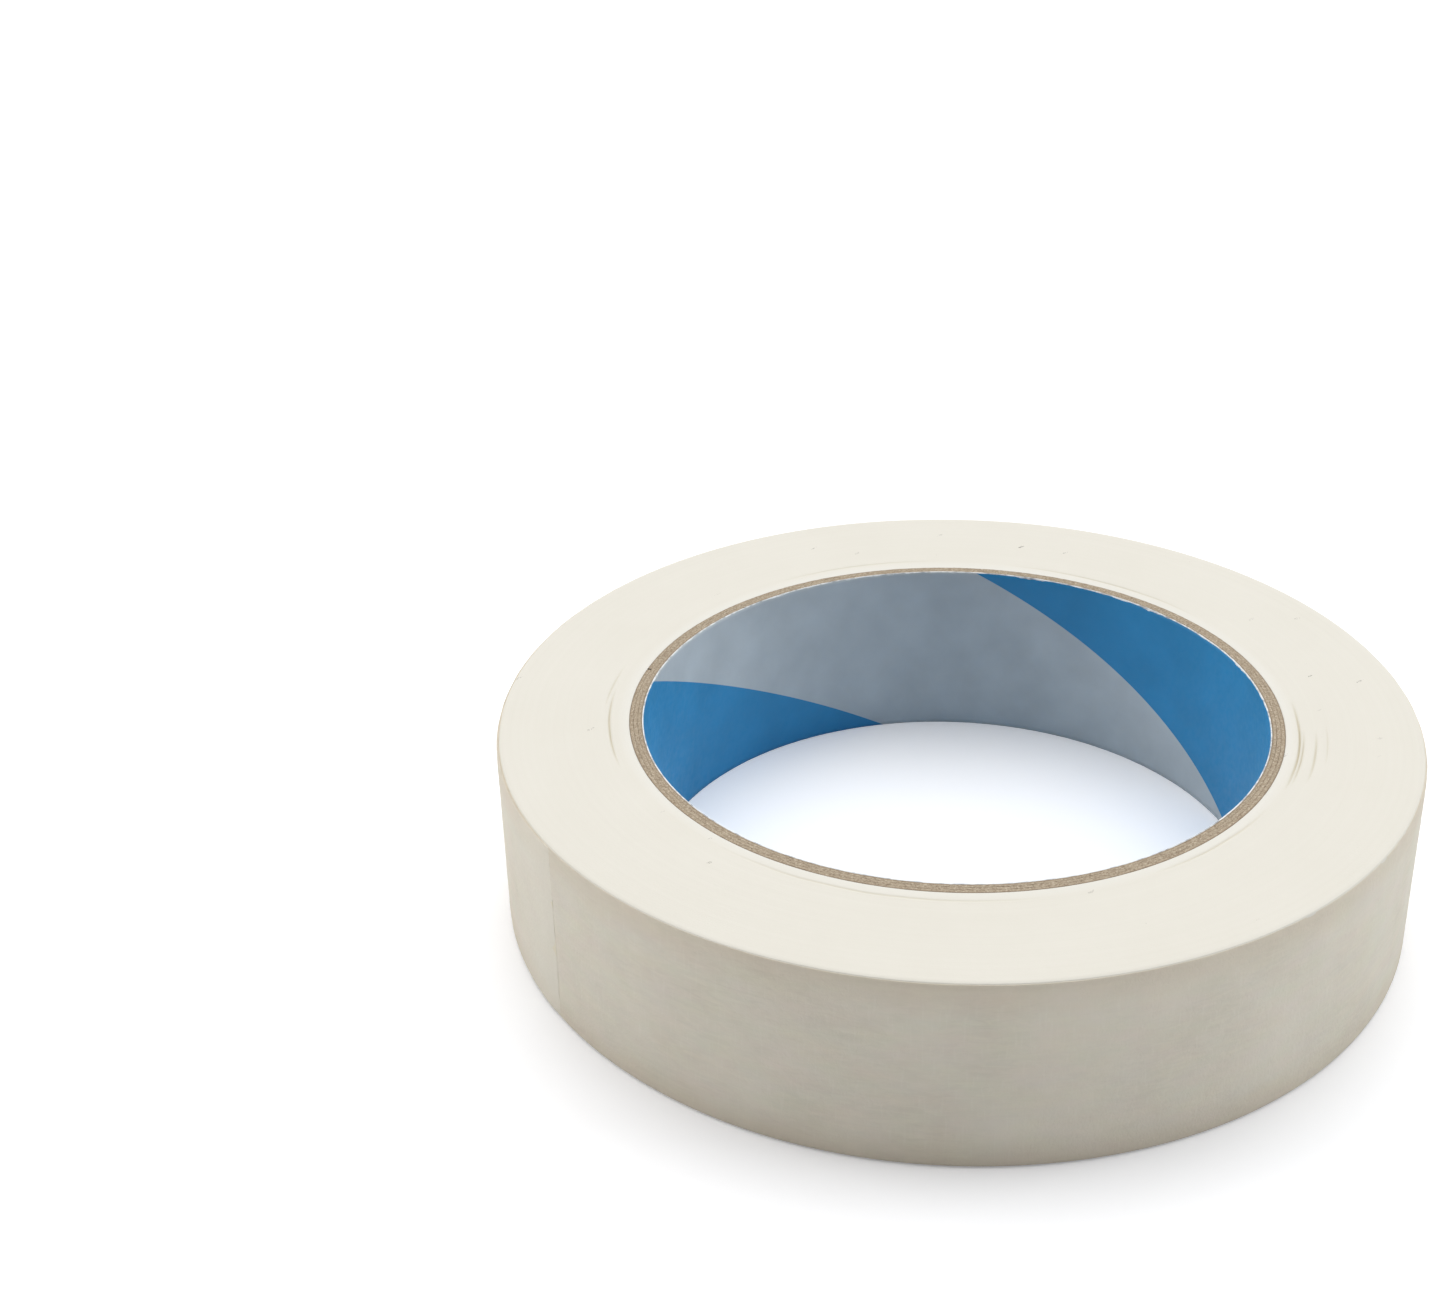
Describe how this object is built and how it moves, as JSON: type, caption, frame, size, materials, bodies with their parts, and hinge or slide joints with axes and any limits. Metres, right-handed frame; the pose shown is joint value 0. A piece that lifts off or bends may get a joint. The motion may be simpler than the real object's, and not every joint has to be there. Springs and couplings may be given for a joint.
{
  "type": "masking tape roll",
  "caption": "Roll of cream crepe-paper masking tape on a spiral-wound paperboard core with a printed bore; the tape's free end peels outward off the roll.",
  "frame": {"origin": "centre of the bore on the roll's lower face, which is the face it lies on", "axes": "+Z along the roll's axis, up; +X to the right and +Y away as the roll is looked at from the front; the tape ends at an azimuth of 217.5 degrees from +X"},
  "size_m": [0.112, 0.112, 0.024],
  "materials": {
    "crepe_tape": "matt cream crepe paper",
    "core_board": "raw brown paperboard, cut edge",
    "liner_print": "satin print, blue and grey-white bands"
  },
  "bodies": {
    "roll": {"core_liner": "liner_print", "core_inner_ply": "core_board", "core_middle_ply": "core_board", "core_outer_ply": "core_board", "tape_wound_turns": "crepe_tape", "tape_outer_turn": "crepe_tape"},
    "free_end_1": {"tape_end_1": "crepe_tape"},
    "free_end_2": {"tape_end_2": "crepe_tape"},
    "free_end_3": {"tape_end_3": "crepe_tape"},
    "free_end_4": {"tape_end_4": "crepe_tape"},
    "free_end_5": {"tape_end_5": "crepe_tape"}
  },
  "joints": [
    {"name": "tape_peel", "type": "hinge", "parent": "roll", "child": "free_end_1", "pos_m": [-0.05179, 0.02145, 0.012], "axis": [0, 0, -1], "range_deg": [0, 20]},
    {"name": "tape_bend_2", "type": "hinge", "parent": "free_end_1", "child": "free_end_2", "pos_m": [-0.05451, 0.01309, 0.012], "axis": [0, 0, -1], "range_deg": [0, 20]},
    {"name": "tape_bend_3", "type": "hinge", "parent": "free_end_2", "child": "free_end_3", "pos_m": [-0.05589, 0.0044, 0.012], "axis": [0, 0, -1], "range_deg": [0, 20]},
    {"name": "tape_bend_4", "type": "hinge", "parent": "free_end_3", "child": "free_end_4", "pos_m": [-0.0559, -0.0044, 0.012], "axis": [0, 0, -1], "range_deg": [0, 10]},
    {"name": "tape_bend_5", "type": "hinge", "parent": "free_end_4", "child": "free_end_5", "pos_m": [-0.05286, -0.01872, 0.012], "axis": [0, 0, -1], "range_deg": [0, 10]}
  ],
  "couplings": [
    {"joint": "tape_bend_2", "follows": "tape_peel", "ratio": 1},
    {"joint": "tape_bend_3", "follows": "tape_peel", "ratio": 1},
    {"joint": "tape_bend_4", "follows": "tape_peel", "ratio": 0.5},
    {"joint": "tape_bend_5", "follows": "tape_peel", "ratio": 0.5}
  ]
}
